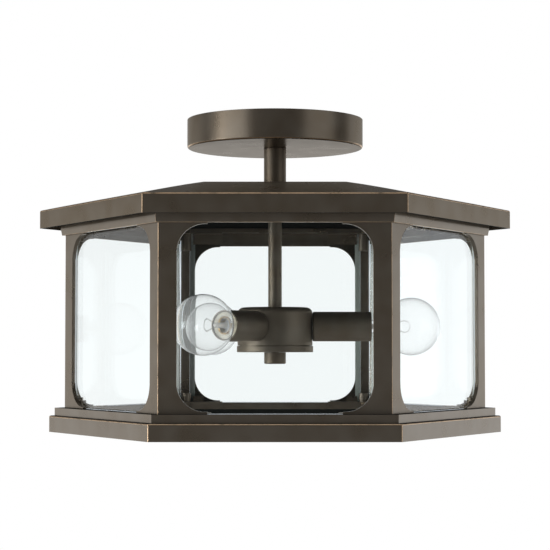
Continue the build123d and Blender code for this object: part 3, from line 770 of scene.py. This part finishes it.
class LANTERN_OT_lamps(bpy.types.Operator):
    """Globe lamps: blown glass, threaded cap, contact button, stem, support wires and coiled filament"""

    bl_idname = "lantern.lamps"
    bl_label = "Globe Lamps"

    def execute(self, context):
        lamp = context.scene.lantern_lamp
        clear = clear_glass("clear_blown_glass", linear("FFFFFF"), GLOBE_INDEX, GLOBE_POLISH, GLOBE_PAINTED_REFLECTION)
        pressed = pressed_glass()
        # Thin brass with a rolled thread: yellow and satin
        brass = bare_metal("rolled_cap_brass", "C29A58", "DDBB78", width=4 * MM, roughness=0.4)
        # A dab of solder: grey and softly bright
        solder = bare_metal("tinned_solder", "8C8C88", "A6A6A0", width=1.5 * MM, roughness=0.35)
        # Drawn nickel wire: a pale, warm grey
        nickel = bare_metal("nickel_support_wire", "9A978F", "B4B1A8", width=2 * MM, roughness=0.3)
        # Unlit tungsten: dark grey and satin
        tungsten = bare_metal("tungsten_coil", "6E6A64", "8A857D", width=1 * MM, roughness=0.4)
        for i in LAMPS:
            body = f"lamp_{i}"
            place = on_socket(i)
            dress(NODES[f"lamp_button_{i}"], solder)
            self.envelope(i, lamp, place, body, clear)
            self.cap(i, lamp, place, body, brass)
            self.stem(i, place, body, pressed)
            self.wires(i, place, body, nickel)
            self.filament(i, lamp, place, body, tungsten)
        return {"FINISHED"}

    def envelope(self, number, lamp, place, body, clear):
        """Blown globe with its neck, thin walled."""
        thin = lamp.glass_wall
        outer = blown_profile(GLOBE_RADIUS, lamp.neck_radius, lamp.neck_blend)
        inner = blown_profile(GLOBE_RADIUS - thin, lamp.neck_radius - thin, lamp.neck_blend + thin)
        mesh = bmesh.new()
        lathe(mesh, outer + list(reversed(inner)), GLOBE_STEPS)
        globe = piece_from(f"lamp_globe_{number}", mesh, place, body, clear)
        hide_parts(f"lamp_glass_{number}")

    def cap(self, number, lamp, place, body, brass):
        """Rolled cap with its thread and insulator seat."""
        floor = CAP_LOW + CAP_FLOOR
        side = CAP_RADIUS - SEAT_PLAY
        seat = [
            (BUTTON_HOLE, CAP_LOW), (CAP_RADIUS - SEAT_INSET, CAP_LOW), (side, CAP_LOW + SEAT_HEIGHT),
            (side, floor), (BUTTON_HOLE, floor),
        ]
        mesh = bmesh.new()
        sleeve(mesh, CAP_RADIUS, CAP_RADIUS - CAP_WALL, (floor, CAP_HIGH),
               lamp.thread_pitch, lamp.thread_depth, (floor, GLASS_FOOT + CAP_COLLAR))
        lathe(mesh, seat, ROUND_STEPS)
        cap = piece_from(f"threaded_cap_{number}", mesh, place, body, brass)
        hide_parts(f"lamp_cap_{number}")

    def stem(self, number, place, body, pressed):
        """Glass stem, flared at its foot and pressed at its tip."""
        profile = [(radius * MM, GLASS_FOOT + height * MM) for radius, height in STEM_PROFILE]
        mesh = bmesh.new()
        lathe(mesh, profile, STEM_STEPS, closed=False)
        press = piece_from(f"lamp_stem_{number}", mesh, place, body, pressed)
        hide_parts(f"lamp_mount_{number}")

    def wires(self, number, place, body, nickel):
        """Two wires from the stem to the ends of the coil."""
        mesh = bmesh.new()
        for side in (-1, 1):
            root = Vector((side * WIRE_ROOT[0], 0, WIRE_ROOT[1]))
            knee = Vector((side * WIRE_KNEE[0], 0, WIRE_KNEE[1]))
            top = Vector((side * COIL_SPREAD, 0, COIL_FOOT))
            hook = top + Vector((0, 0, WIRE_HOOK))
            rod(mesh, [root, knee, knee.lerp(top, 0.5), top, hook], WIRE_RADIUS)
        piece_from(f"support_wires_{number}", mesh, place, body, nickel)

    def filament(self, number, lamp, place, body, tungsten):
        """Coil on half a circle between the wires."""
        count = lamp.filament_turns * COIL_STEPS
        coil = []
        for k in range(count + 1):
            across = pi * (1 - k / count)
            wind = 2 * pi * lamp.filament_turns * k / count
            out = Vector((cos(across), 0, sin(across)))
            middle = out * COIL_SPREAD + Vector((0, 0, COIL_FOOT))
            coil.append(middle + (out * cos(wind) + Vector((0, 1, 0)) * sin(wind)) * COIL_RADIUS)
        mesh = bmesh.new()
        rod(mesh, coil, FILAMENT_RADIUS, steps=5)
        piece_from(f"filament_{number}", mesh, place, body, tungsten)


class LANTERN_OT_fittings(bpy.types.Operator):
    """Strap, pipe, nuts, nipples, ground screw, hickey, leads and connectors"""

    bl_idname = "lantern.fittings"
    bl_label = "Hidden Fittings"

    def execute(self, context):
        # Plated steel: a pale grey that shifts softly
        zinc = bare_metal("zinc_plated_steel", "A9A9A4", "C2C2BC", width=6 * MM, roughness=0.3)
        # Iron as cast: dark and dull
        iron = bare_metal("malleable_iron", "4A4845", "5C5955", width=2 * MM, roughness=0.55)
        # Steel under a thin green coat: half metallic
        green = bare_metal("green_coated_screw", "1F5A2C", "2A6E38", width=3 * MM, roughness=0.4,
                           metallic=0.3)
        # Extruded insulation: black and softly shiny
        insulation = moulded("black_wire_insulation", "17171A", "232326", width=1.5 * MM, roughness=0.45)
        # Moulded nylon: yellow and softly shiny
        nylon = moulded("yellow_nylon_connector", "B9922E", "CDA53E", width=2 * MM, roughness=0.45)
        for piece in named("mounting_strap", "centre_pipe", "lock_nuts", "socket_nipples"):
            dress(piece, zinc)
        dress(NODES["hickey"], iron)
        dress(NODES["ground_screw"], green)
        dress(NODES["lead_wires"], insulation)
        dress(NODES["wire_connectors"], nylon)
        return {"FINISHED"}


class LANTERN_OT_stage(bpy.types.Operator):
    """Camera, floor and soft studio light"""

    bl_idname = "lantern.stage"
    bl_label = "Stage"

    def execute(self, context):
        stage = context.scene.lantern_stage
        context.scene.view_settings.view_transform = "Standard"
        self.camera(context, stage)
        self.floor(context, stage)
        self.world(context)
        self.lights(context)
        return {"FINISHED"}

    def camera(self, context, stage):
        """Long lens, level with the lamps' lower side."""
        data = bpy.data.cameras.new("Camera")
        data.sensor_fit = "HORIZONTAL"
        data.sensor_width = 36
        data.lens = stage.focal
        data.clip_end = 100
        camera = bpy.data.objects.new("Camera", data)
        camera.location = (0, -stage.distance, stage.height)
        camera.rotation_euler = (pi / 2 + stage.tilt, 0, 0)
        context.scene.collection.objects.link(camera)
        context.scene.camera = camera

    def floor(self, context, stage):
        """Wide pale floor, white where it is looked at and dimmer in the metal."""
        mesh = bmesh.new()
        bmesh.ops.create_grid(mesh, x_segments=4, y_segments=4, size=8)
        data = bpy.data.meshes.new("Floor")
        mesh.to_mesh(data)
        mesh.free()
        floor = bpy.data.objects.new("Floor", data)
        floor.location = (0, 0, -stage.floor_drop)
        context.scene.collection.objects.link(floor)
        made, tree = material("pale_floor")
        path = node(tree, "ShaderNodeLightPath")
        seen = node(tree, "ShaderNodeMath", {
            0: path.outputs["Diffuse Depth"], 1: BOUNCED,
        }, operation="LESS_THAN")
        mirrored = node(tree, "ShaderNodeMath", {
            0: path.outputs["Glossy Depth"], 1: BOUNCED,
        }, operation="GREATER_THAN")
        level = node(tree, "ShaderNodeMix", {
            "Factor": mirrored.outputs[0], "A": 1.0, "B": stage.floor_sheen,
        })
        paint = node(tree, "ShaderNodeBsdfDiffuse", {"Color": opaque(stage.floor)})
        white = node(tree, "ShaderNodeEmission", {"Color": WHITE, "Strength": level.outputs["Result"]})
        mixed = node(tree, "ShaderNodeMixShader", {
            0: seen.outputs[0], 1: paint.outputs[0], 2: white.outputs[0],
        })
        node(tree, "ShaderNodeOutputMaterial", {"Surface": mixed.outputs["Shader"]})
        data.materials.append(made)

    def world(self, context):
        """White studio with a dark end behind the camera and a dark ceiling, which the metal mirrors."""
        world = bpy.data.worlds.new("Studio")
        world.use_nodes = True
        context.scene.world = world
        tree = world.node_tree
        tree.nodes.clear()
        # Y runs from -1 in front of the lantern to 1 behind it, and Z from -1 below to 1 above
        place = node(tree, "ShaderNodeTexCoord")
        xyz = node(tree, "ShaderNodeSeparateXYZ", {"Vector": place.outputs["Generated"]})
        depth = node(tree, "ShaderNodeMapRange", {
            "Value": xyz.outputs["Y"], "From Min": 0.15, "From Max": 0.45, "To Min": 0.09, "To Max": 1.0,
        }, interpolation_type="SMOOTHSTEP")
        height = node(tree, "ShaderNodeMapRange", {
            "Value": xyz.outputs["Z"], "From Min": -0.05, "From Max": 0.32, "To Min": 1.0, "To Max": 0.12,
        }, interpolation_type="SMOOTHSTEP")
        studio = node(tree, "ShaderNodeMath", {
            0: depth.outputs["Result"], 1: height.outputs["Result"],
        }, operation="MULTIPLY")
        path = node(tree, "ShaderNodeLightPath")
        scattered = node(tree, "ShaderNodeMath", {
            0: path.outputs["Diffuse Depth"], 1: BOUNCED,
        }, operation="GREATER_THAN")
        mirrored = node(tree, "ShaderNodeMath", {
            0: path.outputs["Glossy Depth"], 1: BOUNCED,
        }, operation="GREATER_THAN")
        glossy = node(tree, "ShaderNodeMix", {
            "Factor": mirrored.outputs[0], "A": 1.0, "B": studio.outputs[0],
        })
        level = node(tree, "ShaderNodeMix", {
            "Factor": scattered.outputs[0], "A": glossy.outputs["Result"], "B": DULL_LEVEL,
        })
        back = node(tree, "ShaderNodeBackground", {"Color": WHITE, "Strength": level.outputs["Result"]})
        node(tree, "ShaderNodeOutputWorld", {"Surface": back.outputs["Background"]})

    def lights(self, context):
        """Softboxes in front on each side, a smaller one at the left, one above and a weak one behind."""
        for name, place, size, power, tone in SOFTBOXES:
            data = bpy.data.lights.new(name, "AREA")
            data.shape = "SQUARE"
            data.size = size
            data.energy = power
            data.color = linear(tone)
            light = bpy.data.objects.new(name, data)
            light.location = place
            light.rotation_euler = (AIM - Vector(place)).to_track_quat("-Z", "Y").to_euler()
            context.scene.collection.objects.link(light)


OPERATORS = (
    LANTERN_OT_metal, LANTERN_OT_panes, LANTERN_OT_sockets, LANTERN_OT_lamps, LANTERN_OT_fittings,
    LANTERN_OT_stage,
)
GROUPS = {
    "lantern_metal": LanternMetal,
    "lantern_glass": LanternGlass,
    "lantern_lamp": LanternLamp,
    "lantern_stage": LanternStage,
}


class LANTERN_PT_panel(bpy.types.Panel):
    """Finishes and pieces of the lantern"""

    bl_label = "Hexagonal Lantern"
    bl_idname = "LANTERN_PT_panel"
    bl_space_type = "VIEW_3D"
    bl_region_type = "UI"
    bl_category = "Lantern"

    def draw(self, context):
        for operator in OPERATORS:
            self.layout.operator(operator.bl_idname)
        for name, group in GROUPS.items():
            box = self.layout.box()
            for field in group.__annotations__:
                box.prop(getattr(context.scene, name), field)


CLASSES = (*GROUPS.values(), *OPERATORS, LANTERN_PT_panel)


def register():
    """Add the classes, and the settings to the scene."""
    for item in CLASSES:
        bpy.utils.register_class(item)
    for name, group in GROUPS.items():
        setattr(bpy.types.Scene, name, PointerProperty(type=group))


def unregister():
    """Take away what register added."""
    for name in GROUPS:
        delattr(bpy.types.Scene, name)
    for item in reversed(CLASSES):
        bpy.utils.unregister_class(item)


def main():
    """Build the whole lantern."""
    register()
    bpy.ops.lantern.stage()
    bpy.ops.lantern.metal()
    bpy.ops.lantern.panes()
    bpy.ops.lantern.sockets()
    bpy.ops.lantern.lamps()
    bpy.ops.lantern.fittings()


if __name__ == "__main__":
    main()
